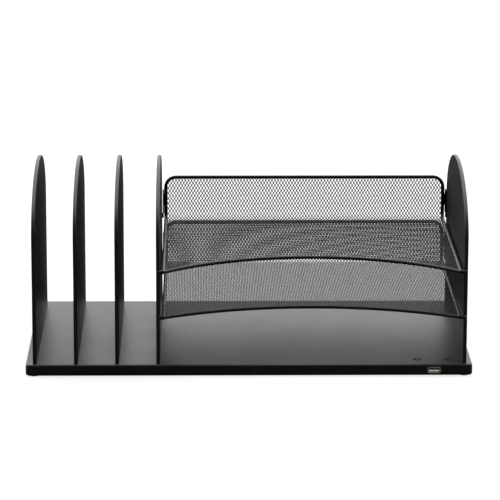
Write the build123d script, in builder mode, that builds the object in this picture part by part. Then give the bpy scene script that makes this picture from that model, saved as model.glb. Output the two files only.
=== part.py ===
"""Desktop file sorter: a steel base, five arched upright panels and two pull-out mesh letter trays.

Millimetres. +Z is up, +X is to the user's right, -Y faces the user. The origin is on the surface that
the rubber feet stand on, under the middle of the base.
"""

import os

from build123d import *

# ---- Driving dimensions: base ------------------------------------------------------------------
base_width = 495.0
base_depth = 282.0
base_height = 12.8  # folded steel pan, without its feet
base_sheet = 1.2
base_corner_radius = 5.0  # corners seen from above
base_top_bend = 2.0  # outside radius where the top folds down
base_bottom_bend = 2.5  # outside radius where the skirts fold in
base_return = 15.0  # width of the inward folded bottom rim, from the outside

foot_height = 1.0  # how far a foot stands proud of the pan
foot_radius = 5.5
foot_inset = 9.0
foot_stem_radius = 2.5
foot_barb_radius = 3.4
foot_barb_height = 1.5
foot_barb_taper = 12.0  # degrees
foot_hole_clearance = 0.05

# ---- Driving dimensions: upright panels --------------------------------------------------------
panel_depth = 258.0
panel_thickness = 4.2
panel_skin = 0.8  # each of the two steel skins
panel_rim = 3.2  # width of the solid edge all round
panel_edge_round = 1.4
panel_height = 204.2  # above the base top
panel_straight = 138.0  # height of the straight edges, where the arch starts
panel_front_setback = 4.5  # from the base front to the panel front
left_panel_inset = 10.0  # from the base's left side to the left end panel's middle
right_panel_inset = 8.6
upright_pitch = 45.6  # between the middles of two upright panels
upright_panels = 4

tab_length = 30.0
tab_thickness = 3.2
tab_drop = 9.0  # how far a tab reaches below the base's top sheet
tab_rise = 8.0  # how far a tab's block reaches up between the skins
tab_spacing = 170.0
tab_slot_clearance = 0.15

bracket_sheet = 1.5
bracket_length = 26.0
bracket_leg = 12.0
bracket_drop = 8.8
tab_screw_radius = 2.0
tab_screw_head_radius = 3.5
tab_screw_head = 2.4
tab_screw_tip = 1.2  # thread that shows past the tab
tab_screw_taper = 10.0  # degrees
screw_clearance = 0.15
socket_radius = 1.4
socket_depth = 1.3

# ---- Driving dimensions: letter trays ----------------------------------------------------------
wire_radius = 2.0
mesh_sheet = 0.5
tray_side_gap = 2.05  # from the wire's outside to the panel
tray_length = 262.5  # from the front corners to the back wall, wire middles
tray_fold_radius = 9.0
wire_end_round = 0.75
rim_corner_radius = 12.0
lower_tray_height = 53.1  # floor wire middle above the base top
tray_pitch = 51.6
tray_pass_gap = 0.3  # from the lower tray's back rim to the wires of the tray above it
upper_wall_height = 50.0  # from the floor wires to the back rim, wire middles
lower_front_bow = 46.0  # how far the front wire curves in at its middle
upper_front_bow = 68.0

pin_radius = 2.3
pin_end_round = 1.6
pin_notch_depth = 1.4
pin_notch_clearance = 0.3
pin_past_middle = 1.2  # how far a pin reaches past the panel's middle
hook_thickness = 1.4
hook_length = 11.0
hook_height = 28.0
hook_corner = 2.0
hook_neck = 14.0  # height of the part that reaches back to the rim's leg
hook_above_floor = 9.5
hook_setback = 3.0  # from the rim's leg to the wide part of its hook plate
peg_radius = 3.0
peg_taper = 8.0  # degrees
peg_stand_off = 1.7
peg_clearance = 0.3
peg_shank_radius = 1.6

# ---- Driving dimensions: USB socket module -----------------------------------------------------
usb_from_right = 42.5  # from the base's right side to the socket's middle
hub_width = 54.0
hub_depth = 31.0
hub_wall = 1.5
hub_corner = 1.5
hub_lid = 1.0
hub_gap = 0.1
hub_screw_spacing = 34.8
hub_screw_from_front = 20.4
hub_screw_radius = 1.5
hub_screw_length = 7.0
hub_screw_head_radius = 2.8
hub_screw_head = 1.4
hub_screw_taper = 18.0  # degrees
hub_socket_radius = 1.05
hub_socket_depth = 1.0
hub_boss_radius = 3.2
dish_radius = 5.0
dish_floor_radius = 3.4
dish_depth = 1.6
board_thickness = 1.0
board_gap = 0.3
usb_shell_width = 13.2
usb_shell_height = 5.7
usb_shell_sheet = 0.35
usb_shell_round = 0.6
usb_shell_depth = 14.0
usb_lip_width = 14.8
usb_lip_height = 7.3
usb_lip_chamfer = 1.6
usb_cutout_clearance = 0.1
tongue_width = 11.1
tongue_height = 1.9
tongue_setback = 1.3  # from the socket's mouth
tongue_gap = 0.55  # under the tongue
tongue_round = 0.25
contact_width = 1.0
contact_height = 0.25
contact_setback = 1.0  # from the tongue's front edge
contact_pitch = 2.2
contact_count = 4
gland_radius = 3.6
gland_neck_radius = 2.6
gland_bore = 2.0
gland_length = 9.0
gland_taper = 5.0  # degrees
lead_notch_width = 7.0
lead_notch_height = 6.0
lead_notch_round = 2.3

# ---- Values worked out from the driving dimensions ---------------------------------------------
base_front = -base_depth / 2
base_floor = foot_height
base_top = base_floor + base_height
sheet_under = base_top - base_sheet
rim_top = base_floor + base_sheet

panel_front = base_front + panel_front_setback
panel_mid_y = panel_front + panel_depth / 2
left_end_x = -base_width / 2 + left_panel_inset
right_end_x = base_width / 2 - right_panel_inset
upright_x = [left_end_x + upright_pitch * i for i in range(upright_panels)]
bay_left_x = upright_x[-1]

bay_mid_x = (bay_left_x + right_end_x) / 2
bay_width = right_end_x - bay_left_x - panel_thickness
tray_half = bay_width / 2 - tray_side_gap - wire_radius  # to the wire middles
pin_y = panel_front + pin_notch_depth - pin_notch_clearance - pin_radius
tray_back = pin_y + tray_length
lower_wall_height = tray_pitch - 2 * wire_radius - tray_pass_gap
lower_floor = base_top + lower_tray_height
upper_floor = lower_floor + tray_pitch
tray_floors = {"lower": lower_floor, "upper": upper_floor}
tray_bows = {"lower": lower_front_bow, "upper": upper_front_bow}
tray_walls = {"lower": lower_wall_height, "upper": upper_wall_height}

usb_x = base_width / 2 - usb_from_right
hub_front = base_front + base_bottom_bend + hub_gap
hub_mid_y = hub_front + hub_depth / 2
hub_bottom = rim_top + hub_gap
board_bottom = hub_bottom + hub_lid
board_top = board_bottom + board_thickness
usb_mid_z = board_top + usb_shell_height / 2
dish_floor = base_top - dish_depth
dish_under = dish_floor - base_sheet
hub_screw_y = base_front + hub_screw_from_front
hub_screw_places = [(usb_x + side * hub_screw_spacing / 2, hub_screw_y) for side in (-1, 1)]

hook_y = tray_back - wire_radius - hook_setback - hook_length / 2
tab_places = [panel_mid_y - tab_spacing / 2, panel_mid_y + tab_spacing / 2]
panels = {
    "left_end_panel": (left_end_x, 1),
    "divider_panel_1": (upright_x[1], 1),
    "divider_panel_2": (upright_x[2], 1),
    "bay_left_panel": (bay_left_x, 1),
    "right_end_panel": (right_end_x, -1),
}  # each panel's middle, and the side that its foot brackets are on
tab_screw_z = sheet_under - (bracket_sheet + bracket_drop) / 2

os.makedirs("parts", exist_ok=True)


def save(part, label):
    """Name a finished piece and write its STEP file."""
    part.label = label
    export_step(part, f"parts/{label}.step")


def peg_height(floor):
    """The middle of the peg that a tray's back hook rests on."""
    return floor + hook_above_floor - peg_clearance - peg_radius


def base_point(x, y, z):
    """A plane parallel to the ground at a point."""
    return Plane(origin=(x, y, z), x_dir=(1, 0, 0), z_dir=(0, 0, 1))


def facing_right(x, y=0.0, z=0.0):
    """A plane whose normal is +X: its own x axis is +Y and its own y axis is +Z."""
    return Plane(origin=(x, y, z), x_dir=(0, 1, 0), z_dir=(1, 0, 0))


def facing_back(y, x=0.0, z=0.0):
    """A plane whose normal is +Y: its own x axis is -X and its own y axis is +Z."""
    return Plane(origin=(x, y, z), x_dir=(-1, 0, 0), z_dir=(0, 1, 0))


# ---- Base --------------------------------------------------------------------------------------
foot_places = [
    (sx * (base_width / 2 - foot_inset), sy * (base_depth / 2 - foot_inset))
    for sx in (-1, 1)
    for sy in (-1, 1)
]

# The space between the folded sheet's inner faces
with BuildPart() as base_hollow:
    with BuildSketch(base_point(0, 0, rim_top)):
        RectangleRounded(
            base_width - 2 * base_sheet,
            base_depth - 2 * base_sheet,
            base_corner_radius - base_sheet,
        )
    extrude(amount=base_height - 2 * base_sheet)
    fillet(base_hollow.faces().sort_by(Axis.Z)[-1].edges(), base_top_bend - base_sheet)
    fillet(base_hollow.faces().sort_by(Axis.Z)[0].edges(), base_bottom_bend - base_sheet)

with BuildPart() as base_pan:
    with BuildSketch(base_point(0, 0, base_floor)):
        RectangleRounded(base_width, base_depth, base_corner_radius)
    extrude(amount=base_height)
    fillet(base_pan.faces().sort_by(Axis.Z)[-1].edges(), base_top_bend)
    fillet(base_pan.faces().sort_by(Axis.Z)[0].edges(), base_bottom_bend)
    add(base_hollow.part, mode=Mode.SUBTRACT)
    with BuildSketch(base_point(0, 0, base_floor)):
        RectangleRounded(
            base_width - 2 * base_return, base_depth - 2 * base_return, base_corner_radius
        )
    extrude(amount=base_sheet, mode=Mode.SUBTRACT)
    # Holes for the feet
    with BuildSketch(base_point(0, 0, base_floor)):
        with Locations(*foot_places):
            Circle(foot_stem_radius + foot_hole_clearance)
    extrude(amount=base_sheet, mode=Mode.SUBTRACT)
    # Slots that the panels' tabs pass through
    with BuildSketch(base_point(0, 0, sheet_under)):
        with Locations(*[(x, y) for x, _ in panels.values() for y in tab_places]):
            Rectangle(tab_thickness + 2 * tab_slot_clearance, tab_length + 2 * tab_slot_clearance)
    extrude(amount=base_sheet, mode=Mode.SUBTRACT)
    # Pressed dishes for the two module screws
    for x, y in hub_screw_places:
        with BuildSketch(base_point(x, y, sheet_under)):
            Circle(dish_radius + base_sheet)
        with BuildSketch(base_point(x, y, dish_under)):
            Circle(dish_floor_radius + base_sheet)
        loft()
        with BuildSketch(base_point(x, y, base_top)):
            Circle(dish_radius)
        with BuildSketch(base_point(x, y, dish_floor)):
            Circle(dish_floor_radius)
        loft(mode=Mode.SUBTRACT)
        with BuildSketch(base_point(x, y, dish_under)):
            Circle(hub_screw_radius + screw_clearance)
        extrude(amount=base_sheet, mode=Mode.SUBTRACT)
    # Cut-out for the socket's flared mouth, in the front skirt
    with BuildSketch(facing_back(base_front, usb_x, usb_mid_z)):
        Rectangle(
            usb_lip_width + 2 * usb_cutout_clearance, usb_lip_height + 2 * usb_cutout_clearance
        )
        chamfer(vertices(), usb_lip_chamfer)
    extrude(amount=base_sheet, mode=Mode.SUBTRACT)
    # Notch that the lead leaves by, through the back skirt and its folded rim
    with BuildSketch(facing_back(base_depth / 2 - base_return, usb_x, base_floor)):
        with Locations((0, lead_notch_height / 2)):
            Rectangle(lead_notch_width, lead_notch_height)
        fillet(vertices().group_by(Axis.Y)[-1], lead_notch_round)
    extrude(amount=base_return, mode=Mode.SUBTRACT)
save(base_pan.part, "base_pan")

with BuildPart() as rubber_feet:
    with BuildSketch(base_point(0, 0, 0)):
        with Locations(*foot_places):
            Circle(foot_radius)
    extrude(amount=foot_height)
    with BuildSketch(base_point(0, 0, foot_height)):
        with Locations(*foot_places):
            Circle(foot_stem_radius)
    extrude(amount=base_sheet)
    with BuildSketch(base_point(0, 0, rim_top)):
        with Locations(*foot_places):
            Circle(foot_barb_radius)
    extrude(amount=foot_barb_height, taper=foot_barb_taper)
save(rubber_feet.part, "rubber_feet")


# ---- Upright panels ----------------------------------------------------------------------------
def arch_outline(inset):
    """A panel's outline, drawn inset from its edge: straight sides under half an ellipse."""
    half = panel_depth / 2 - inset
    rise = panel_height - panel_straight - inset
    with BuildSketch() as outline:
        with BuildLine():
            Line((half, 0), (half, panel_straight))
            EllipticalCenterArc((0, panel_straight), half, rise, start_angle=0, arc_size=180)
            Line((-half, panel_straight), (-half, 0))
            Line((-half, 0), (half, 0))
        make_face()
    return outline.sketch


def make_panel(x, holds_trays):
    """One double-skinned panel: hollow, open at its foot, with two solid tabs."""
    with BuildPart() as panel:
        with BuildSketch(facing_right(x - panel_thickness / 2, panel_mid_y, base_top)):
            add(arch_outline(0))
        extrude(amount=panel_thickness)
        sides = panel.faces().filter_by(Axis.X)
        rim_edges = sides.edges().filter_by(lambda e: e.center().Z > base_top + panel_edge_round)
        fillet(rim_edges, panel_edge_round)
        with BuildSketch(facing_right(x - panel_thickness / 2 + panel_skin, panel_mid_y, base_top)):
            add(arch_outline(panel_rim))
        extrude(amount=panel_thickness - 2 * panel_skin, mode=Mode.SUBTRACT)
        for y in tab_places:
            with Locations((x, y, base_top + tab_rise / 2)):
                Box(panel_thickness, tab_length, tab_rise)
            with Locations((x, y, base_top - (base_sheet + tab_drop) / 2)):
                Box(tab_thickness, tab_length, base_sheet + tab_drop)
            with BuildSketch(facing_right(x - panel_thickness, y, tab_screw_z)):
                Circle(tab_screw_radius)
            extrude(amount=2 * panel_thickness, mode=Mode.SUBTRACT)
        if holds_trays:
            inward = 1 if x < bay_mid_x else -1
            for floor in tray_floors.values():
                with BuildSketch(facing_right(x - panel_thickness, pin_y, floor)):
                    Circle(pin_radius + pin_notch_clearance)
                extrude(amount=2 * panel_thickness, mode=Mode.SUBTRACT)
                with BuildSketch(facing_right(x, hook_y, peg_height(floor))):
                    Circle(peg_shank_radius)
                extrude(amount=inward * panel_thickness / 2, mode=Mode.SUBTRACT)
    return panel.part


for panel_name, (panel_x, _) in panels.items():
    save(make_panel(panel_x, panel_x in (bay_left_x, right_end_x)), panel_name)


# ---- What holds the panels to the base ---------------------------------------------------------
def bracket_side(x, side, distance):
    """X at a distance from the face of a tab, on the side that its bracket is on."""
    return x + side * (tab_thickness / 2 + distance)


with BuildPart() as tab_brackets:
    for x, side in panels.values():
        for y in tab_places:
            with Locations(
                (bracket_side(x, side, bracket_leg / 2), y, sheet_under - bracket_sheet / 2)
            ):
                Box(bracket_leg, bracket_length, bracket_sheet)
            with Locations(
                (bracket_side(x, side, bracket_sheet / 2), y, sheet_under - bracket_drop / 2)
            ):
                Box(bracket_sheet, bracket_length, bracket_drop)
            with BuildSketch(facing_right(bracket_side(x, side, 0), y, tab_screw_z)):
                Circle(tab_screw_radius + screw_clearance)
            extrude(amount=side * bracket_sheet, mode=Mode.SUBTRACT)
save(tab_brackets.part, "tab_brackets")

with BuildPart() as tab_screws:
    for x, side in panels.values():
        for y in tab_places:
            head_seat = bracket_side(x, side, bracket_sheet)
            with BuildSketch(facing_right(head_seat, y, tab_screw_z)):
                Circle(tab_screw_radius)
            extrude(amount=-side * (bracket_sheet + tab_thickness + tab_screw_tip))
            with BuildSketch(facing_right(head_seat, y, tab_screw_z)):
                Circle(tab_screw_head_radius)
            extrude(amount=side * tab_screw_head, taper=tab_screw_taper)
            with BuildSketch(
                facing_right(head_seat + side * tab_screw_head, y, tab_screw_z)
            ):
                RegularPolygon(socket_radius, 6)
            extrude(amount=-side * socket_depth, mode=Mode.SUBTRACT)
save(tab_screws.part, "tab_screws")

with BuildPart() as tray_rest_pegs:
    for x, inward in ((bay_left_x, 1), (right_end_x, -1)):
        face = x + inward * panel_thickness / 2
        for floor in tray_floors.values():
            with BuildSketch(facing_right(face, hook_y, peg_height(floor))):
                Circle(peg_radius)
            extrude(amount=inward * peg_stand_off, taper=peg_taper)
            with BuildSketch(facing_right(x, hook_y, peg_height(floor))):
                Circle(peg_shank_radius)
            extrude(amount=inward * panel_thickness / 2)
save(tray_rest_pegs.part, "tray_rest_pegs")


# ---- Letter trays ------------------------------------------------------------------------------
def bow_radius(bow):
    """The radius of the arc over the whole tray width that curves in by the bow."""
    return (tray_half**2 + bow**2) / (2 * bow)


def make_back_rim(floor, wall):
    """The wire over the back wall: two legs, rounded top corners, and feet that bend forward."""
    rim_z = floor + wall
    with BuildPart() as rim:
        with BuildLine() as path:
            FilletPolyline(
                (bay_mid_x - tray_half, tray_back - tray_fold_radius - wire_radius, floor),
                (bay_mid_x - tray_half, tray_back, floor),
                (bay_mid_x - tray_half, tray_back, rim_z),
                (bay_mid_x + tray_half, tray_back, rim_z),
                (bay_mid_x + tray_half, tray_back, floor),
                (bay_mid_x + tray_half, tray_back - tray_fold_radius - wire_radius, floor),
                radius=[tray_fold_radius, rim_corner_radius, rim_corner_radius, tray_fold_radius],
            )
        with BuildSketch(Plane(origin=path.line @ 0, z_dir=path.line % 0)):
            Circle(wire_radius)
        sweep(path=path.line)
    return rim.part


def make_side_wire(floor, side):
    """The straight wire along one side of the floor, from the rim's foot to the front corner."""
    back_end = tray_back - tray_fold_radius - wire_radius
    with BuildPart() as wire:
        with BuildSketch(facing_back(back_end, bay_mid_x + side * tray_half, floor)):
            Circle(wire_radius)
        extrude(amount=-(back_end - pin_y + wire_radius))
        fillet(wire.edges().sort_by(Axis.Y)[0], wire_end_round)
    return wire.part


def make_front_wire(floor, bow):
    """The bowed wire across the front, cut off flush where it is welded to the side wires."""
    with BuildPart() as wire:
        with BuildLine() as path:
            ThreePointArc(
                (bay_mid_x - tray_half, pin_y, floor),
                (bay_mid_x, pin_y + bow, floor),
                (bay_mid_x + tray_half, pin_y, floor),
            )
        with BuildSketch(Plane(origin=path.line @ 0, z_dir=path.line % 0)):
            Circle(wire_radius)
        sweep(path=path.line)
        with Locations((bay_mid_x, pin_y + bow / 2, floor)):
            Box(
                2 * (tray_half - wire_radius),
                bow + 4 * wire_radius,
                4 * wire_radius,
                mode=Mode.INTERSECT,
            )
    return wire.part


def make_front_pins(floor):
    """The two stub pins that lie in the notches of the panels' front edges."""
    reach = bay_width / 2 + panel_thickness / 2 + pin_past_middle
    weld = tray_half + wire_radius
    with BuildPart() as pins:
        for side in (-1, 1):
            with BuildSketch(facing_right(bay_mid_x + side * weld, pin_y, floor)):
                Circle(pin_radius)
            extrude(amount=side * (reach - weld))
            outer_end = pins.faces().filter_by(Axis.X).sort_by(Axis.X)[-1 if side > 0 else 0]
            fillet(outer_end.edges(), pin_end_round)
    return pins.part


def make_mesh_sheet(floor, wall, bow):
    """One sheet, folded up at the back: the floor, a round fold and the back wall."""
    half = tray_half - wire_radius
    wall_top = floor + wall - wire_radius
    inner_corner = rim_corner_radius - wire_radius
    skin = mesh_sheet / 2
    with BuildPart() as sheet:
        with BuildSketch(facing_right(bay_mid_x - half, 0, 0)):
            with BuildLine():
                Polyline(
                    (pin_y, floor - skin),
                    (tray_back + skin, floor - skin),
                    (tray_back + skin, wall_top),
                    (tray_back - skin, wall_top),
                    (tray_back - skin, floor + skin),
                    (pin_y, floor + skin),
                    close=True,
                )
            make_face()
            inside_corner = vertices().group_by(Axis.Y)[1].sort_by(Axis.X)[-1]
            fillet(inside_corner, tray_fold_radius - skin)
            outside_corner = vertices().group_by(Axis.Y)[0].sort_by(Axis.X)[-1]
            fillet(outside_corner, tray_fold_radius + skin)
        extrude(amount=2 * half)
        # The bowed front edge follows the front wire's middle, one wire radius behind it
        arc = bow_radius(bow)
        with BuildSketch(base_point(bay_mid_x, pin_y + bow - arc, floor - wire_radius)):
            Circle(arc + wire_radius)
        extrude(amount=2 * wire_radius, mode=Mode.SUBTRACT)
        # Rounded top corners
        with BuildSketch(facing_back(tray_back - wire_radius, bay_mid_x, wall_top)):
            Rectangle(3 * half, 2 * inner_corner)
            with Locations((0, -2 * inner_corner)):
                RectangleRounded(2 * half, 4 * inner_corner, inner_corner, mode=Mode.SUBTRACT)
        extrude(amount=2 * wire_radius, mode=Mode.SUBTRACT)
    return sheet.part


def make_back_hooks(floor):
    """The two flat plates welded to the rim's legs, which rest on the panels' pegs."""
    middle_z = floor + hook_above_floor + hook_height / 2
    neck = tray_back - hook_y - hook_length / 2
    with BuildPart() as hooks:
        for side in (-1, 1):
            x = bay_mid_x + side * (tray_half + wire_radius + hook_thickness / 2)
            with BuildSketch(facing_right(x - hook_thickness / 2, hook_y, middle_z)):
                RectangleRounded(hook_length, hook_height, hook_corner)
                with Locations(((hook_length + neck) / 2, 0)):
                    Rectangle(neck, hook_neck)
            extrude(amount=hook_thickness)
    return hooks.part


for level, tray_floor in tray_floors.items():
    tray_bow = tray_bows[level]
    tray_wall = tray_walls[level]
    save(make_side_wire(tray_floor, -1), f"{level}_tray_left_wire")
    save(make_side_wire(tray_floor, 1), f"{level}_tray_right_wire")
    save(make_back_rim(tray_floor, tray_wall), f"{level}_tray_back_rim")
    save(make_front_wire(tray_floor, tray_bow), f"{level}_tray_front_wire")
    save(make_mesh_sheet(tray_floor, tray_wall, tray_bow), f"{level}_tray_mesh")
    save(make_front_pins(tray_floor), f"{level}_tray_front_pins")
    save(make_back_hooks(tray_floor), f"{level}_tray_back_hooks")


# ---- USB socket module, inside the base --------------------------------------------------------
lid_top = hub_bottom + hub_lid
usb_mouth = base_front
board_length = hub_depth - 2 * hub_wall - 2 * board_gap
board_width = hub_width - 2 * hub_wall - 2 * board_gap

with BuildPart() as hub_case:
    with BuildSketch(base_point(usb_x, hub_mid_y, lid_top)):
        RectangleRounded(hub_width, hub_depth, hub_corner)
    extrude(amount=sheet_under - lid_top)
    with BuildSketch(base_point(usb_x, hub_mid_y, lid_top)):
        Rectangle(hub_width - 2 * hub_wall, hub_depth - 2 * hub_wall)
    extrude(amount=sheet_under - lid_top - hub_wall, mode=Mode.SUBTRACT)
    # Screw posts, with a cup round each dish
    cup_radius = dish_radius + base_sheet + board_gap
    for x, y in hub_screw_places:
        with BuildSketch(base_point(x, y, lid_top)):
            Circle(hub_boss_radius)
        extrude(amount=dish_under - lid_top)
        with BuildSketch(base_point(x, y, dish_under - hub_wall)):
            Circle(cup_radius + hub_wall)
        extrude(amount=sheet_under - dish_under + hub_wall)
        with BuildSketch(base_point(x, y, dish_under)):
            Circle(cup_radius)
        extrude(amount=base_top - dish_under, mode=Mode.SUBTRACT)
        with BuildSketch(base_point(x, y, lid_top)):
            Circle(hub_screw_radius)
        extrude(amount=base_height, mode=Mode.SUBTRACT)
    # Way in for the socket, and the hole for the lead's gland
    with BuildSketch(facing_back(hub_front, usb_x, usb_mid_z)):
        Rectangle(usb_shell_width + 2 * board_gap, usb_shell_height + 2 * board_gap)
    extrude(amount=hub_wall, mode=Mode.SUBTRACT)
    with BuildSketch(facing_back(hub_front + hub_depth - hub_wall, usb_x, usb_mid_z)):
        Circle(gland_neck_radius)
    extrude(amount=hub_wall, mode=Mode.SUBTRACT)
save(hub_case.part, "hub_case")

with BuildPart() as hub_lid_plate:
    with BuildSketch(base_point(usb_x, hub_mid_y, hub_bottom)):
        RectangleRounded(hub_width, hub_depth, hub_corner)
    extrude(amount=hub_lid)
save(hub_lid_plate.part, "hub_lid")

with BuildPart() as hub_circuit_board:
    with BuildSketch(base_point(usb_x, hub_mid_y, board_bottom)):
        Rectangle(board_width, board_length)
        with Locations(*[(x - usb_x, y - hub_mid_y) for x, y in hub_screw_places]):
            Circle(hub_boss_radius + board_gap, mode=Mode.SUBTRACT)
    extrude(amount=board_thickness)
save(hub_circuit_board.part, "hub_circuit_board")

with BuildPart() as usb_shell:
    with BuildSketch(facing_back(usb_mouth, usb_x, usb_mid_z)):
        Rectangle(usb_shell_width, usb_shell_height)
        fillet(vertices(), usb_shell_round)
    extrude(amount=usb_shell_depth)
    with BuildSketch(facing_back(usb_mouth, usb_x, usb_mid_z)):
        Rectangle(usb_lip_width, usb_lip_height)
        chamfer(vertices(), usb_lip_chamfer)
    extrude(amount=usb_shell_sheet)
    with BuildSketch(facing_back(usb_mouth, usb_x, usb_mid_z)):
        Rectangle(usb_shell_width - 2 * usb_shell_sheet, usb_shell_height - 2 * usb_shell_sheet)
        fillet(vertices(), usb_shell_round - usb_shell_sheet)
    extrude(amount=usb_shell_depth - usb_shell_sheet, mode=Mode.SUBTRACT)
save(usb_shell.part, "usb_shell")

tongue_front = usb_mouth + tongue_setback
tongue_bottom = usb_mid_z - usb_shell_height / 2 + usb_shell_sheet + tongue_gap
tongue_top = tongue_bottom + tongue_height
tongue_back = usb_mouth + usb_shell_depth - usb_shell_sheet
with BuildPart() as usb_tongue:
    with BuildSketch(facing_back(tongue_front, usb_x, tongue_bottom + tongue_height / 2)):
        Rectangle(tongue_width, tongue_height)
        fillet(vertices(), tongue_round)
    extrude(amount=tongue_back - tongue_front)
save(usb_tongue.part, "usb_tongue")

with BuildPart() as usb_contacts:
    contact_front = tongue_front + contact_setback
    with BuildSketch(facing_back(contact_front, usb_x, tongue_top + contact_height / 2)):
        with GridLocations(contact_pitch, 0, contact_count, 1):
            Rectangle(contact_width, contact_height)
    extrude(amount=tongue_back - contact_front)
save(usb_contacts.part, "usb_contacts")

with BuildPart() as lead_gland:
    gland_seat = hub_front + hub_depth
    with BuildSketch(facing_back(gland_seat, usb_x, usb_mid_z)):
        Circle(gland_radius)
    extrude(amount=gland_length, taper=gland_taper)
    with BuildSketch(facing_back(gland_seat - hub_wall, usb_x, usb_mid_z)):
        Circle(gland_neck_radius)
    extrude(amount=hub_wall)
    with BuildSketch(facing_back(gland_seat - hub_wall, usb_x, usb_mid_z)):
        Circle(gland_bore)
    extrude(amount=hub_wall + gland_length, mode=Mode.SUBTRACT)
save(lead_gland.part, "lead_gland")

with BuildPart() as hub_screws:
    for x, y in hub_screw_places:
        with BuildSketch(base_point(x, y, dish_floor)):
            Circle(hub_screw_radius)
        extrude(amount=-hub_screw_length)
        with BuildSketch(base_point(x, y, dish_floor)):
            Circle(hub_screw_head_radius)
        extrude(amount=hub_screw_head, taper=hub_screw_taper)
        with BuildSketch(base_point(x, y, dish_floor + hub_screw_head)):
            RegularPolygon(hub_socket_radius, 6)
        extrude(amount=-hub_socket_depth, mode=Mode.SUBTRACT)
save(hub_screws.part, "hub_screws")
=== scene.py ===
"""Desktop file sorter: the looks of the steel base, arched panels, mesh letter trays and USB socket."""

import math

import bmesh
import bpy
from bpy.props import FloatProperty, FloatVectorProperty, PointerProperty
from mathutils import Matrix, Vector


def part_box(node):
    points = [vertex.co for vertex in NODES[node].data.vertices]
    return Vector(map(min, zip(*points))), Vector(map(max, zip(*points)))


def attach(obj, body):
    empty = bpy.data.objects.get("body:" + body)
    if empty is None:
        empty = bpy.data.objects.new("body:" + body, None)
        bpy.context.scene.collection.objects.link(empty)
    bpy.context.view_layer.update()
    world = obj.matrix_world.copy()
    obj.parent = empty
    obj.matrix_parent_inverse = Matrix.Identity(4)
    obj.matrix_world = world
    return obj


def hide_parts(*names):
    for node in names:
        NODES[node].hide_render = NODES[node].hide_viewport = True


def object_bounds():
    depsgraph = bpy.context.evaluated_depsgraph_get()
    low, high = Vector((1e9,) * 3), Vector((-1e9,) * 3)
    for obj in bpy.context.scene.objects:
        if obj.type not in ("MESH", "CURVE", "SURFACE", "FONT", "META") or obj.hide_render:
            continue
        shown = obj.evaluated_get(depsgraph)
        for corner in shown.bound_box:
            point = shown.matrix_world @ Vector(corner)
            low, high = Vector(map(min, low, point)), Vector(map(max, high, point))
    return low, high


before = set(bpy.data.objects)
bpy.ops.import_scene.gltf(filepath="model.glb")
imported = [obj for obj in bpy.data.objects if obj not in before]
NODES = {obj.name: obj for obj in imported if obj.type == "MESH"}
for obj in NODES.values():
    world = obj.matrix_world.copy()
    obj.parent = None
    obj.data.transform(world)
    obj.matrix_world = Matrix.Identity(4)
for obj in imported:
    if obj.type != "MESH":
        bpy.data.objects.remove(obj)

CAD_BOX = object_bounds()

bl_info = {
    "name": "Desktop File Sorter",
    "version": (1, 0, 0),
    "blender": (4, 5, 0),
    "location": "3D View > Sidebar > File Sorter",
    "description": "Dresses the packed file sorter: mesh trays, weld beads, finishes and a studio",
    "category": "Object",
}

LEVELS = ("upper", "lower")
MM = 0.001

# how deep the orange peel is on flat sheet, and on the thinner wires and strands
SHEET_PEEL_DEPTH = 0.008 * MM
WIRE_PEEL_DEPTH = 0.02 * MM
# how strongly the coats shine, where 0.5 is an ordinary clear surface
SHEET_SHINE = 0.5
WIRE_SHINE = 0.3
MESH_SHINE = 0.2
# straight snips that round one top corner of the mesh
CORNER_SNIPS = 6
# a seam along a hook plate is this many bead sizes high, and has this many ripples
SEAM_HEIGHT = 4
SEAM_RIPPLES = 7
RIPPLE_DEPTH = 0.08


# ---- Settings ----------------------------------------------------------------------------------
class SorterMeshSettings(bpy.types.PropertyGroup):
    """Sizes of the trays' expanded steel mesh and of their welds."""

    diamond_width: FloatProperty(
        name="Diamond Width",
        description="Spacing of the diamonds across the tray",
        default=3.65 * MM,
        unit="LENGTH",
        precision=5,
    )
    diamond_length: FloatProperty(
        name="Diamond Length",
        description="Spacing of the diamonds from front to back and up the back wall",
        default=6.15 * MM,
        unit="LENGTH",
        precision=5,
    )
    strand_width: FloatProperty(
        name="Strand Width",
        description="Width of one steel strand between two openings",
        default=1.33 * MM,
        unit="LENGTH",
        precision=5,
    )
    strand_thickness: FloatProperty(
        name="Strand Thickness",
        description="Thickness of the coated sheet",
        default=0.48 * MM,
        unit="LENGTH",
        precision=5,
    )
    wire_bite: FloatProperty(
        name="Wire Bite",
        description="How far the mesh's edge reaches into the wire that it is welded to",
        default=1.2 * MM,
        unit="LENGTH",
        precision=5,
    )
    fold_radius: FloatProperty(
        name="Fold Radius",
        description="Radius of the fold from the floor into the back wall, at mid-thickness",
        default=9.0 * MM,
        unit="LENGTH",
        precision=5,
    )
    corner_radius: FloatProperty(
        name="Corner Radius",
        description="Radius of the back rim's two top corners, along the wire's middle",
        default=12.0 * MM,
        unit="LENGTH",
        precision=5,
    )
    bead_radius: FloatProperty(
        name="Weld Bead Radius",
        description="Size of a coated weld bead",
        default=1.3 * MM,
        unit="LENGTH",
        precision=5,
    )


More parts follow.
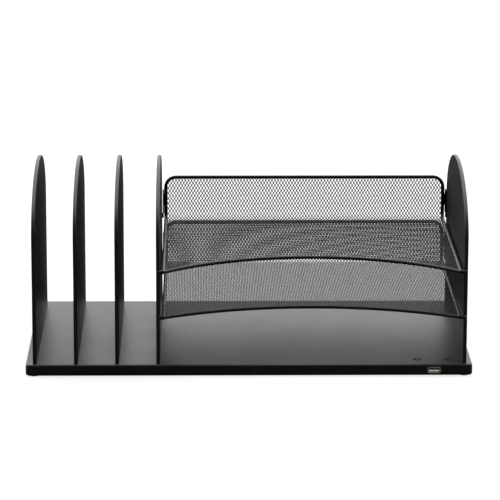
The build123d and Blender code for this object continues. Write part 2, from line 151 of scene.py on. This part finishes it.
class SorterFinishSettings(bpy.types.PropertyGroup):
    """Colours and gloss of the finishes."""

    coat_color: FloatVectorProperty(
        name="Powder Coat",
        description="Colour of the satin black powder coat",
        default=(0.0062, 0.0062, 0.0072),
        subtype="COLOR",
        size=3,
    )
    coat_roughness: FloatProperty(
        name="Coat Roughness",
        description="Roughness of the powder coat on the folded sheet",
        default=0.41,
        subtype="FACTOR",
    )
    peel_size: FloatProperty(
        name="Orange Peel Size",
        description="Size of one swell in the powder coat's texture",
        default=1.1 * MM,
        unit="LENGTH",
        precision=5,
    )
    wire_roughness: FloatProperty(
        name="Wire Roughness",
        description="Roughness of the coat on the wires",
        default=0.27,
        subtype="FACTOR",
    )
    mesh_roughness: FloatProperty(
        name="Mesh Roughness",
        description="Roughness of the coat on the expanded mesh",
        default=0.5,
        subtype="FACTOR",
    )


class SorterStudioSettings(bpy.types.PropertyGroup):
    """The camera, the lights and the pale floor."""

    camera_place: FloatVectorProperty(
        name="Camera Place",
        description="Where the camera stands",
        default=(-0.0547, -3.36965, 0.92672),
        subtype="TRANSLATION",
        size=3,
    )
    camera_pitch: FloatProperty(
        name="Camera Pitch",
        description="How far the camera looks down",
        default=0.2377,
        subtype="ANGLE",
    )
    camera_yaw: FloatProperty(
        name="Camera Yaw",
        description="How far the camera turns from straight ahead",
        default=-0.0171,
        subtype="ANGLE",
    )
    camera_roll: FloatProperty(
        name="Camera Roll",
        description="How far the camera leans",
        default=0.0024,
        subtype="ANGLE",
    )
    camera_lens: FloatProperty(
        name="Camera Lens",
        description="Focal length in millimetres on a 36 mm sensor",
        default=218.23,
    )
    floor_color: FloatVectorProperty(
        name="Floor",
        description="Colour of the studio floor",
        default=(0.93, 0.93, 0.93),
        subtype="COLOR",
        size=3,
    )
    floor_glow: FloatProperty(
        name="Floor Glow",
        description="Light that the floor sends to the camera by itself, which keeps its shadows soft",
        default=0.83,
    )
    floor_sheen: FloatVectorProperty(
        name="Floor in Reflections",
        description="Colour that the floor shows in glossy reflections",
        default=(0.004, 0.004, 0.004),
        subtype="COLOR",
        size=3,
    )
    floor_size: FloatProperty(
        name="Floor Size",
        description="Half the width of the studio floor",
        default=14.0,
        unit="LENGTH",
    )
    backdrop_light: FloatProperty(
        name="Backdrop Light",
        description="Brightness of the pale surroundings behind the object",
        default=1.85,
    )
    front_light: FloatProperty(
        name="Front Light",
        description="Brightness of the dim surroundings on the camera's side",
        default=0.09,
    )
    overhead_power: FloatProperty(
        name="Overhead Power",
        description="Power of the soft box overhead",
        default=20.0,
        unit="POWER",
    )
    fill_power: FloatProperty(
        name="Fill Power",
        description="Power of each soft box at the sides",
        default=3.0,
        unit="POWER",
    )


SETTINGS = {
    "sorter_mesh": SorterMeshSettings,
    "sorter_finish": SorterFinishSettings,
    "sorter_studio": SorterStudioSettings,
}


# ---- Shaders -----------------------------------------------------------------------------------
class Link:
    """One output socket of a shader, on which sums and products can be written."""

    def __init__(self, shader, socket):
        self.shader = shader
        self.socket = socket

    def maths(self, operation, first, second):
        settings = {"operation": operation}
        return self.shader.node("ShaderNodeMath", settings, {0: first, 1: second})

    def __add__(self, other):
        return self.maths("ADD", self, other)

    def __radd__(self, other):
        return self.maths("ADD", other, self)

    def __rsub__(self, other):
        return self.maths("SUBTRACT", other, self)

    def __mul__(self, other):
        return self.maths("MULTIPLY", self, other)

    def above(self, edge):
        return self.maths("GREATER_THAN", self, edge)


class Shader:
    """The node tree of one material or of the world, filled one node at a time."""

    def __init__(self, tree):
        self.tree = tree
        tree.nodes.clear()

    def node(self, kind, settings=None, inputs=None, output=0):
        """Adds a node, makes its settings, fills its sockets and gives back one of its outputs."""
        node = self.tree.nodes.new(kind)
        for name, value in (settings or {}).items():
            if name == "stops":
                self.set_stops(node.color_ramp, value)
            else:
                setattr(node, name, value)
        for name, value in (inputs or {}).items():
            if isinstance(value, Link):
                self.tree.links.new(value.socket, node.inputs[name])
            else:
                node.inputs[name].default_value = value
        if not node.outputs:
            return None
        return Link(self, node.outputs[output])

    @staticmethod
    def set_stops(ramp, stops):
        while len(ramp.elements) < len(stops):
            ramp.elements.new(1.0)
        for element, (place, color) in zip(ramp.elements, stops):
            element.position = place
            element.color = color

    def place(self):
        """Object coordinates, in metres."""
        return self.node("ShaderNodeTexCoord", output="Object")

    def noise(self, size, detail=2.0, roughness=0.5, vector=None):
        """Smooth noise from 0 to 1 with swells of about the size given."""
        inputs = {
            "Vector": vector or self.place(),
            "Scale": 1 / size,
            "Detail": detail,
            "Roughness": roughness,
        }
        return self.node("ShaderNodeTexNoise", None, inputs, "Fac")

    def blend(self, factor, first, second):
        """A colour between two colours."""
        inputs = {"Factor": factor, "A": first, "B": second}
        return self.node("ShaderNodeMix", {"data_type": "RGBA"}, inputs, "Result")

    def bump(self, height, distance, strength=1.0):
        inputs = {"Height": height, "Distance": distance, "Strength": strength}
        return self.node("ShaderNodeBump", None, inputs, "Normal")

    def surface(self, **inputs):
        """Ends the tree in one Principled shader. Socket names are written with _ for a space."""
        sockets = {name.replace("_", " "): value for name, value in inputs.items()}
        shader = self.node("ShaderNodeBsdfPrincipled", None, sockets, "BSDF")
        self.node("ShaderNodeOutputMaterial", None, {"Surface": shader})


def rgba(color, gain=1.0):
    return (color[0] * gain, color[1] * gain, color[2] * gain, 1.0)


def new_material(name):
    material = bpy.data.materials.new(name)
    material.use_nodes = True
    return material, Shader(material.node_tree)


def powder_coat(name, color, roughness, peel_size, peel_depth, shine):
    """Satin black powder coat: orange peel, faint mottling and a few pale specks of dust."""
    material, shader = new_material(name)
    mottle = shader.noise(38 * MM, 3.0)
    peel = shader.noise(peel_size, 2.5, 0.55)
    grit = shader.noise(0.32 * MM, 1.0)
    dust = shader.noise(2.6 * MM, 0.0).above(0.845)
    base = shader.blend(mottle, rgba(color, 0.75), rgba(color, 1.3))
    base = shader.blend(dust * 0.5, base, (0.05, 0.048, 0.045, 1.0))
    shader.surface(
        Base_Color=base,
        Roughness=roughness - 0.05 + mottle * 0.07 + grit * 0.04 + dust * 0.2,
        Specular_IOR_Level=shine,
        Normal=shader.bump(peel + grit * 0.35, peel_depth),
    )
    return material


def zinc_steel():
    """Bright zinc plate with faint passivation colours and a fine grain."""
    material, shader = new_material("zinc_plate")
    cloud = shader.noise(6 * MM, 3.0)
    grain = shader.noise(0.25 * MM, 2.0)
    shader.surface(
        Base_Color=shader.blend(cloud, (0.52, 0.53, 0.50, 1.0), (0.66, 0.64, 0.56, 1.0)),
        Metallic=1.0,
        Roughness=0.28 + cloud * 0.12 + grain * 0.08,
        Normal=shader.bump(grain, 0.006 * MM),
    )
    return material


def black_screw():
    """Black oxide on turned screws, rubbed brighter in patches."""
    material, shader = new_material("black_oxide")
    cloud = shader.noise(1.5 * MM, 3.0)
    grain = shader.noise(0.15 * MM, 2.0)
    shader.surface(
        Base_Color=shader.blend(cloud, (0.022, 0.022, 0.024, 1.0), (0.075, 0.072, 0.07, 1.0)),
        Metallic=0.75,
        Roughness=0.24 + cloud * 0.16,
        Normal=shader.bump(grain, 0.008 * MM),
    )
    return material


def foot_rubber():
    """Matt black rubber with a dry bloom."""
    material, shader = new_material("foot_rubber_black")
    bloom = shader.noise(4 * MM, 4.0)
    grain = shader.noise(0.2 * MM, 3.0)
    shader.surface(
        Base_Color=shader.blend(bloom, (0.012, 0.012, 0.012, 1.0), (0.03, 0.029, 0.028, 1.0)),
        Roughness=0.72 + bloom * 0.15,
        Normal=shader.bump(grain, 0.03 * MM),
    )
    return material


def hub_plastic():
    """Spark-textured black moulded plastic."""
    material, shader = new_material("moulded_black_plastic")
    texture = shader.noise(0.28 * MM, 3.0)
    flow = shader.noise(14 * MM, 2.0)
    shader.surface(
        Base_Color=shader.blend(flow, (0.018, 0.018, 0.019, 1.0), (0.027, 0.027, 0.029, 1.0)),
        Roughness=0.48 + flow * 0.1,
        Normal=shader.bump(texture, 0.02 * MM),
    )
    return material


def board_laminate():
    """Green solder mask with copper tracks showing through as paler lines."""
    material, shader = new_material("solder_mask")
    track_settings = {"wave_type": "BANDS", "bands_direction": "X"}
    track_inputs = {"Vector": shader.place(), "Scale": 260.0, "Distortion": 2.0}
    tracks = shader.node("ShaderNodeTexWave", track_settings, track_inputs, "Fac").above(0.7)
    weave = shader.noise(0.6 * MM, 2.0)
    green = shader.blend(tracks, (0.008, 0.075, 0.028, 1.0), (0.03, 0.16, 0.06, 1.0))
    shader.surface(
        Base_Color=green,
        Roughness=0.28 + weave * 0.12,
        Normal=shader.bump(weave + tracks, 0.02 * MM),
    )
    return material


def socket_steel():
    """Warm plated steel, brushed along the socket and a little tarnished."""
    material, shader = new_material("plated_socket_steel")
    tarnish = shader.noise(2.2 * MM, 3.0)
    brushing = {"Vector": shader.place(), "Location": (0, 0, 0), "Scale": (4000.0, 150.0, 4000.0)}
    stretched = shader.node("ShaderNodeMapping", None, brushing)
    lines = shader.noise(1.0, 2.0, vector=stretched)
    shader.surface(
        Base_Color=shader.blend(tarnish, (0.46, 0.36, 0.25, 1.0), (0.74, 0.61, 0.45, 1.0)),
        Metallic=0.7,
        Roughness=0.34 + lines * 0.16,
        Normal=shader.bump(lines, 0.004 * MM),
    )
    return material


def tongue_plastic():
    """White glass-filled plastic."""
    material, shader = new_material("white_tongue_plastic")
    cloud = shader.noise(1.8 * MM, 3.0)
    shader.surface(
        Base_Color=shader.blend(cloud, (0.87, 0.87, 0.85, 1.0), (0.95, 0.95, 0.93, 1.0)),
        Roughness=0.32 + cloud * 0.1,
        Normal=shader.bump(cloud, 0.01 * MM),
    )
    return material


def contact_brass():
    """Copper-toned plated springs, darker where they are rubbed."""
    material, shader = new_material("contact_plate")
    wear = shader.noise(1.1 * MM, 3.0)
    shader.surface(
        Base_Color=shader.blend(wear, (0.20, 0.11, 0.06, 1.0), (0.50, 0.32, 0.17, 1.0)),
        Metallic=1.0,
        Roughness=0.25 + wear * 0.2,
        Normal=shader.bump(wear, 0.005 * MM),
    )
    return material


def finish_node(name, material):
    """Gives every material slot of a CAD node the finish."""
    for slot in NODES[name].material_slots:
        slot.material = material


# ---- Small mesh helpers ------------------------------------------------------------------------
def new_piece(name, bm, material, body, smooth=False):
    """Turns a bmesh into a piece that rides on a body and takes its finish from a slot."""
    bmesh.ops.recalc_face_normals(bm, faces=bm.faces)
    mesh = bpy.data.meshes.new(name)
    bm.to_mesh(mesh)
    bm.free()
    for polygon in mesh.polygons:
        polygon.use_smooth = smooth
    mesh.materials.append(material)
    piece = bpy.data.objects.new(name, mesh)
    bpy.context.scene.collection.objects.link(piece)
    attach(piece, body)
    return piece


def trim(bm, place, normal):
    """Cuts away everything on the side of a plane that its normal points to."""
    geometry = bm.verts[:] + bm.edges[:] + bm.faces[:]
    bmesh.ops.bisect_plane(
        bm, geom=geometry, dist=1e-7, plane_co=place, plane_no=normal, clear_outer=True
    )


class TrayFrame:
    """The places that one tray's own wires give: their radius, middles, bow and height."""

    def __init__(self, level):
        side_low, side_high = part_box(f"{level}_tray_left_wire")
        far_low, far_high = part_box(f"{level}_tray_right_wire")
        bow_low, bow_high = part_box(f"{level}_tray_front_wire")
        rim_low, rim_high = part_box(f"{level}_tray_back_rim")
        pin_low, pin_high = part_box(f"{level}_tray_front_pins")
        hook_low, hook_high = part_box(f"{level}_tray_back_hooks")
        self.radius = (side_high.x - side_low.x) / 2
        self.left = side_low.x + self.radius
        self.right = far_high.x - self.radius
        self.middle = (self.left + self.right) / 2
        self.half = (self.right - self.left) / 2
        self.floor = (side_low.z + side_high.z) / 2
        self.front = side_low.y + self.radius
        self.back = rim_high.y - self.radius
        self.rim = rim_high.z - self.radius
        self.side_end = side_high.y
        self.bow = bow_high.y - self.radius - self.front
        self.arc = (self.half**2 + self.bow**2) / (2 * self.bow)
        self.pin_radius = (pin_high.z - pin_low.z) / 2
        self.hook_middle = (hook_low.z + hook_high.z) / 2

    def front_edge(self, x):
        """Y of the bowed front wire's middle at an X measured from the tray's middle."""
        return self.front + self.bow - self.arc + math.sqrt(self.arc**2 - x**2)


def expanded_sheet(sizes, width, length):
    """A flat net of strands: x across from the middle, y from 0 to the length, diamonds along y."""
    bm = bmesh.new()
    across, along = sizes.diamond_width, sizes.diamond_length
    cells = 2 * math.ceil((width / across + length / along) / 2) + 2
    bmesh.ops.create_grid(bm, x_segments=cells, y_segments=cells, size=cells / 2)
    corner_up = Matrix.Rotation(math.pi / 4, 3, "Z")
    bmesh.ops.rotate(bm, verts=bm.verts, cent=(0, 0, 0), matrix=corner_up)
    stretch = (across / math.sqrt(2), along / math.sqrt(2), 1)
    bmesh.ops.scale(bm, verts=bm.verts, vec=stretch)
    bmesh.ops.translate(bm, verts=bm.verts, vec=(0, length / 2, 0))
    # diamonds that lie wholly outside the sheet go first, so that less is left to work on
    far = [
        face
        for face in bm.faces
        if abs(face.calc_center_median().x) > width / 2 + across
        or not -along < face.calc_center_median().y < length + along
    ]
    bmesh.ops.delete(bm, geom=far, context="FACES")
    openings = bm.faces[:]
    bmesh.ops.inset_individual(bm, faces=openings, thickness=sizes.strand_width / 2)
    bmesh.ops.delete(bm, geom=openings, context="FACES")
    return bm


def shift_along(bm, offset):
    """Moves each vertex along y by an amount that depends on its x."""
    for vert in bm.verts:
        vert.co.y += offset(vert.co.x)


def fold_up(bm, start, radius):
    """Rolls a flat sheet up at the back: flat as far as start, a quarter turn, then upright."""
    quarter = radius * math.pi / 2
    for vert in bm.verts:
        past = vert.co.y - start
        if past > 0:
            angle = min(past / radius, math.pi / 2)
            reach = radius - vert.co.z
            vert.co.y = start + reach * math.sin(angle)
            vert.co.z = radius - reach * math.cos(angle) + max(0.0, past - quarter)


def tray_mesh(level, sizes, material):
    """One tray's expanded mesh: cut to the bowed wire, folded up at the back, corners rounded."""
    tray = TrayFrame(level)
    bite = sizes.wire_bite
    half = tray.half - tray.radius + bite
    radius = sizes.fold_radius
    fold_start = tray.back - radius
    wall_top = tray.rim - tray.radius + bite
    flat_end = fold_start + radius * math.pi / 2 + (wall_top - tray.floor - radius)
    bm = expanded_sheet(sizes, 2 * half, flat_end - tray.front)
    bmesh.ops.translate(bm, verts=bm.verts, vec=(0, tray.front, 0))
    trim(bm, (half, 0, 0), (1, 0, 0))
    trim(bm, (-half, 0, 0), (-1, 0, 0))
    trim(bm, (0, flat_end, 0), (0, 1, 0))
    # the bowed cut is straight once every strand is slid by the bow
    shift_along(bm, lambda x: -tray.front_edge(x))
    trim(bm, (0, tray.radius - bite, 0), (0, -1, 0))
    shift_along(bm, tray.front_edge)
    # rounded top corners, as a few straight snips along each corner's circle
    corner = sizes.corner_radius - tray.radius + bite
    for side in (-1, 1):
        for step in range(CORNER_SNIPS):
            angle = (step + 0.5) / CORNER_SNIPS * math.pi / 2
            normal = Vector((side * math.sin(angle), math.cos(angle), 0))
            centre = Vector((side * (half - corner), flat_end - corner, 0))
            trim(bm, centre + normal * corner, normal)
    thickness = sizes.strand_thickness
    bmesh.ops.solidify(bm, geom=bm.faces[:], thickness=thickness)
    heights = [vert.co.z for vert in bm.verts]
    bmesh.ops.translate(
        bm, verts=bm.verts, vec=(0, 0, -(max(heights) + min(heights)) / 2)
    )
    fold_up(bm, fold_start, radius)
    bmesh.ops.translate(bm, verts=bm.verts, vec=(tray.middle, 0, tray.floor))
    piece = new_piece(
        f"{level}_tray_expanded_mesh", bm, material, f"{level}_tray"
    )
    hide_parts(f"{level}_tray_mesh")
    return piece


def add_bead(bm, place, reach, ripples=0):
    """A weld bead: a ball stretched to its three reaches, with ripples up its height."""
    ball = bmesh.ops.create_icosphere(bm, subdivisions=4, radius=1.0)["verts"]
    for vert in ball:
        swell = 1.0
        if ripples:
            swell += RIPPLE_DEPTH * math.cos(vert.co.z * math.pi * ripples)
        vert.co = Vector(
            (vert.co.x * reach[0] * swell, vert.co.y * reach[1] * swell, vert.co.z * reach[2])
        )
    bmesh.ops.translate(bm, verts=ball, vec=place)


def weld_beads(level, size, material):
    """One tray's weld beads: at the front corners and pins, the rim's feet and the hook plates."""
    tray = TrayFrame(level)
    radius = tray.radius
    collar = radius + size / 4
    bm = bmesh.new()
    for side in (-1, 1):
        wire_x = tray.middle + side * tray.half
        outer_x = wire_x + side * radius
        inner_x = wire_x - side * radius
        corner_y = tray.front_edge(tray.half - radius) + radius
        add_bead(bm, (inner_x, corner_y, tray.floor), (size, size, size))
        add_bead(bm, (wire_x, tray.side_end, tray.floor), (collar, size, collar))
        pin_collar = tray.pin_radius + size / 5
        add_bead(bm, (outer_x, tray.front, tray.floor), (size * 0.75, pin_collar, pin_collar))
        seam_place = (outer_x, tray.back + size / 4, tray.hook_middle)
        add_bead(bm, seam_place, (size, size, size * SEAM_HEIGHT), SEAM_RIPPLES)
    return new_piece(
        f"{level}_tray_weld_beads", bm, material, f"{level}_tray", smooth=True
    )


# ---- Operators: one for each group of pieces ---------------------------------------------------
class SorterOperator:
    """What the operators share."""

    bl_options = {"REGISTER", "UNDO"}


class SORTER_OT_studio(SorterOperator, bpy.types.Operator):
    """Set up the camera, the pale floor and the soft lights"""

    bl_idname = "sorter.studio"
    bl_label = "Studio"

    def execute(self, context):
        studio = context.scene.sorter_studio
        self.make_camera(context.scene, studio)
        self.make_floor(context.scene, studio)
        self.make_world(context.scene, studio)
        self.make_lights(context.scene, studio)
        context.scene.view_settings.view_transform = "Standard"
        return {"FINISHED"}

    @staticmethod
    def make_camera(scene, studio):
        camera = bpy.data.objects.new("camera", bpy.data.cameras.new("camera"))
        scene.collection.objects.link(camera)
        camera.data.sensor_width = 36.0
        camera.data.lens = studio.camera_lens
        camera.data.clip_end = 100.0
        turn = Matrix.Rotation(studio.camera_yaw, 4, "Z")
        tilt = Matrix.Rotation(math.pi / 2 - studio.camera_pitch, 4, "X")
        lean = Matrix.Rotation(studio.camera_roll, 4, "Z")
        camera.matrix_world = Matrix.Translation(studio.camera_place) @ turn @ tilt @ lean
        scene.camera = camera

    @staticmethod
    def make_floor(scene, studio):
        bm = bmesh.new()
        bmesh.ops.create_grid(bm, x_segments=2, y_segments=2, size=studio.floor_size)
        mesh = bpy.data.meshes.new("studio_floor")
        bm.to_mesh(mesh)
        bm.free()
        material, shader = new_material("studio_floor_paint")
        haze = shader.noise(0.6, 2.0)
        pale = shader.blend(haze, rgba(studio.floor_color, 0.985), rgba(studio.floor_color))
        mirrored = shader.node("ShaderNodeLightPath", output="Is Glossy Ray")
        seen = shader.node("ShaderNodeLightPath", output="Is Camera Ray")
        color = shader.blend(mirrored, pale, rgba(studio.floor_sheen))
        glow = rgba(studio.floor_color, studio.floor_glow)
        shader.surface(
            Base_Color=shader.blend(seen, color, rgba(studio.floor_color, 0.3)),
            Emission_Color=shader.blend(seen, (0, 0, 0, 1), glow),
            Emission_Strength=1.0,
            Roughness=0.9 + haze * 0.05,
            Specular_IOR_Level=0.1,
        )
        mesh.materials.append(material)
        floor = bpy.data.objects.new("studio_floor", mesh)
        scene.collection.objects.link(floor)

    @staticmethod
    def make_world(scene, studio):
        """Pale all round to the eye, but dimmer on the camera's side for what it lights."""
        world = bpy.data.worlds.new("studio_surroundings")
        world.use_nodes = True
        scene.world = world
        shader = Shader(world.node_tree)
        direction = shader.node("ShaderNodeTexCoord", output="Generated")
        depth = shader.node("ShaderNodeSeparateXYZ", None, {"Vector": direction}, "Y")
        height = shader.node("ShaderNodeSeparateXYZ", None, {"Vector": direction}, "Z")
        behind = shader.node(
            "ShaderNodeMapRange",
            {"interpolation_type": "SMOOTHSTEP"},
            {
                "Value": depth + height * 0.35,
                "From Min": -0.4,
                "From Max": 0.7,
                "To Min": studio.front_light,
                "To Max": studio.backdrop_light,
            },
        )
        seen = shader.node("ShaderNodeLightPath", output="Is Camera Ray")
        strength = seen + (1 - seen) * behind
        glow = shader.node(
            "ShaderNodeBackground", None, {"Color": (1, 1, 1, 1), "Strength": strength}
        )
        shader.node("ShaderNodeOutputWorld", None, {"Surface": glow})

    @staticmethod
    def make_lights(scene, studio):
        boxes = {
            "overhead_soft_box": ((0.0, 0.35, 2.2), (2.4, 2.0), studio.overhead_power),
            "left_soft_box": ((-2.2, -0.3, 1.3), (1.4, 1.8), studio.fill_power),
            "right_soft_box": ((2.2, -0.3, 1.3), (1.4, 1.8), studio.fill_power),
        }
        low, high = CAD_BOX
        target = (low + high) / 2
        for name, (place, size, power) in boxes.items():
            lamp = bpy.data.lights.new(name, "AREA")
            lamp.shape = "RECTANGLE"
            lamp.size, lamp.size_y = size
            lamp.energy = power
            light = bpy.data.objects.new(name, lamp)
            light.location = place
            light.rotation_mode = "QUATERNION"
            light.rotation_quaternion = (target - Vector(place)).to_track_quat("-Z", "Y")
            scene.collection.objects.link(light)


class SORTER_OT_coated_sheet(SorterOperator, bpy.types.Operator):
    """Powder coat the base, the arched panels and the pegs"""

    bl_idname = "sorter.coated_sheet"
    bl_label = "Base and Panels"

    def execute(self, context):
        finish = context.scene.sorter_finish
        material = powder_coat(
            "satin_black_powder_coat",
            finish.coat_color,
            finish.coat_roughness,
            finish.peel_size,
            SHEET_PEEL_DEPTH,
            SHEET_SHINE,
        )
        for name in NODES:
            if name == "base_pan" or name.endswith("_panel") or name.startswith("divider_"):
                finish_node(name, material)
        finish_node("tray_rest_pegs", material)
        return {"FINISHED"}


class SORTER_OT_tray_wires(SorterOperator, bpy.types.Operator):
    """Coat the trays' wires, pins and hook plates, and make their weld beads"""

    bl_idname = "sorter.tray_wires"
    bl_label = "Tray Wires and Welds"

    def execute(self, context):
        finish = context.scene.sorter_finish
        material = powder_coat(
            "satin_black_wire_coat",
            finish.coat_color,
            finish.wire_roughness,
            finish.peel_size * 0.8,
            WIRE_PEEL_DEPTH,
            WIRE_SHINE,
        )
        wires = ("back_rim", "left_wire", "right_wire", "front_wire")
        for level in LEVELS:
            for part in (*wires, "front_pins", "back_hooks"):
                finish_node(f"{level}_tray_{part}", material)
            weld_beads(level, context.scene.sorter_mesh.bead_radius, material)
        return {"FINISHED"}


class SORTER_OT_tray_meshes(SorterOperator, bpy.types.Operator):
    """Make the two trays' expanded steel mesh"""

    bl_idname = "sorter.tray_meshes"
    bl_label = "Tray Meshes"

    def execute(self, context):
        finish = context.scene.sorter_finish
        material = powder_coat(
            "satin_black_mesh_coat",
            finish.coat_color,
            finish.mesh_roughness,
            finish.peel_size * 0.6,
            WIRE_PEEL_DEPTH,
            MESH_SHINE,
        )
        for level in LEVELS:
            tray_mesh(level, context.scene.sorter_mesh, material)
        return {"FINISHED"}


class SORTER_OT_fasteners(SorterOperator, bpy.types.Operator):
    """Finish the brackets, screws and feet under the base"""

    bl_idname = "sorter.fasteners"
    bl_label = "Fasteners and Feet"

    def execute(self, context):
        zinc = zinc_steel()
        finish_node("tab_brackets", zinc)
        finish_node("tab_screws", zinc)
        finish_node("hub_screws", black_screw())
        rubber = foot_rubber()
        finish_node("rubber_feet", rubber)
        finish_node("lead_gland", rubber)
        return {"FINISHED"}


class SORTER_OT_usb_module(SorterOperator, bpy.types.Operator):
    """Finish the USB socket module"""

    bl_idname = "sorter.usb_module"
    bl_label = "USB Module"

    def execute(self, context):
        plastic = hub_plastic()
        finish_node("hub_case", plastic)
        finish_node("hub_lid", plastic)
        finish_node("hub_circuit_board", board_laminate())
        finish_node("usb_shell", socket_steel())
        finish_node("usb_tongue", tongue_plastic())
        finish_node("usb_contacts", contact_brass())
        return {"FINISHED"}


OPERATORS = (
    SORTER_OT_studio,
    SORTER_OT_coated_sheet,
    SORTER_OT_tray_wires,
    SORTER_OT_tray_meshes,
    SORTER_OT_fasteners,
    SORTER_OT_usb_module,
)


class SORTER_PT_sidebar(bpy.types.Panel):
    """The sorter's operators and settings, in the 3D view's sidebar"""

    bl_idname = "SORTER_PT_sidebar"
    bl_label = "File Sorter"
    bl_space_type = "VIEW_3D"
    bl_region_type = "UI"
    bl_category = "File Sorter"

    def draw(self, context):
        for operator in OPERATORS:
            self.layout.operator(operator.bl_idname)
        for name in SETTINGS:
            group = getattr(context.scene, name)
            box = self.layout.box()
            for setting in group.__annotations__:
                box.prop(group, setting)


CLASSES = (*SETTINGS.values(), *OPERATORS, SORTER_PT_sidebar)


def register():
    for cls in CLASSES:
        bpy.utils.register_class(cls)
    for name, cls in SETTINGS.items():
        setattr(bpy.types.Scene, name, PointerProperty(type=cls))


def unregister():
    for name in SETTINGS:
        delattr(bpy.types.Scene, name)
    for cls in reversed(CLASSES):
        bpy.utils.unregister_class(cls)


def main():
    register()
    for operator in OPERATORS:
        group, name = operator.bl_idname.split(".")
        getattr(getattr(bpy.ops, group), name)()


if __name__ == "__main__":
    main()
